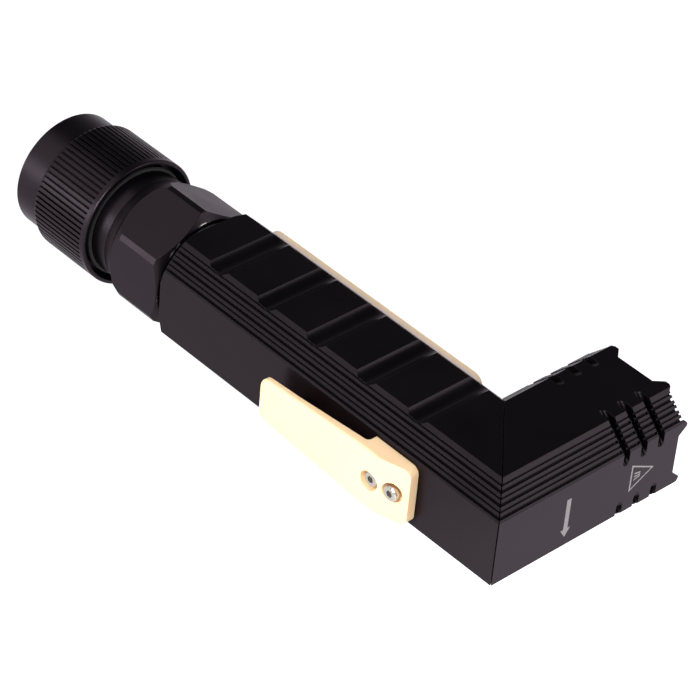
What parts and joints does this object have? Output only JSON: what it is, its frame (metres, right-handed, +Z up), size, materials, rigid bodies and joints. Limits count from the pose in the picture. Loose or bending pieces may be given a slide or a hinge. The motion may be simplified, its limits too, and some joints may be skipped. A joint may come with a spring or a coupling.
{
  "type": "right-angle twist torch",
  "caption": "Right-angle LED torch with a square ribbed body, a head that twists on a 45 degree joint, pocket clip and knurled tail cap.",
  "frame": {"origin": "centre of the flat tail face", "axes": "+X along the body from the tail to the elbow, +Y from the elbow to the front lens, +Z up through the grooved top face"},
  "size_m": [0.153, 0.0586, 0.0308],
  "materials": {
    "anodised_aluminium": "black anodised over fine blasted aluminium, satin",
    "cream_plastic": "cream moulded plastic, slightly translucent",
    "black_rubber": "matt black rubber",
    "bright_steel": "bright stainless steel",
    "cell_sleeve": "blue heat-shrink sleeve over a steel can",
    "nickel_plate": "nickel-plated steel",
    "circuit_board": "glass-fibre circuit board with green solder mask",
    "brass": "turned brass",
    "black_plastic": "moulded black plastic",
    "lead_jacket": "silicone wire jacket",
    "acetal": "natural acetal",
    "turned_aluminium": "bare turned aluminium",
    "pivot_steel": "turned stainless steel",
    "white_board": "white solder mask on a metal-core board",
    "led_ceramic": "white ceramic LED package",
    "clear_silicone": "clear silicone over phosphor",
    "bright_reflector": "vacuum-metallised reflector",
    "coated_glass": "coated flat glass"
  },
  "bodies": {
    "body": {"body_shell": "anodised_aluminium", "rear_collar": "anodised_aluminium", "collar_seal": "black_rubber", "cap_seal": "black_rubber", "pocket_clip": "cream_plastic", "clip_screws": "bright_steel", "side_strip": "cream_plastic", "cell": "cell_sleeve", "cell_cap": "nickel_plate", "front_spring": "bright_steel", "driver_board": "circuit_board", "driver_ring": "brass", "driver_components": "black_plastic", "driver_leads": "lead_jacket", "swivel_bush": "acetal", "swivel_washer": "bright_steel", "swivel_seal": "black_rubber", "detent_ball": "bright_steel", "detent_spring": "bright_steel"},
    "head": {"head_shell": "anodised_aluminium", "swivel_tube": "pivot_steel", "swivel_nut": "pivot_steel", "head_leads": "lead_jacket", "led_carrier": "turned_aluminium", "led_board": "white_board", "board_screws": "bright_steel", "led_emitter": "led_ceramic", "led_dome": "clear_silicone", "centring_gasket": "acetal", "reflector": "bright_reflector", "front_lens": "coated_glass", "lens_seal": "black_rubber", "lens_ring": "turned_aluminium"},
    "tail_cap": {"tail_cap": "anodised_aluminium", "tail_magnet": "nickel_plate", "boot_seal": "black_rubber", "switch_housing": "black_plastic", "switch_ring": "brass", "switch_board": "circuit_board", "tail_spring": "bright_steel"},
    "tail_button": {"button_boot": "black_rubber", "button_plunger": "black_plastic"}
  },
  "joints": [
    {"name": "head_twist", "type": "hinge", "parent": "body", "child": "head", "pos_m": [0.139, 0, 0], "axis": [0.7071, 0.7071, 0], "range_deg": [0, 180]},
    {"name": "cap_unscrew", "type": "slide", "parent": "body", "child": "tail_cap", "axis": [-1, 0, 0], "range_m": [0, 0.045]},
    {"name": "button_press", "type": "slide", "parent": "tail_cap", "child": "tail_button", "axis": [1, 0, 0], "range_m": [0, 0.0015], "stiffness_N_per_m": 2000, "springref_m": -0.0005}
  ]
}
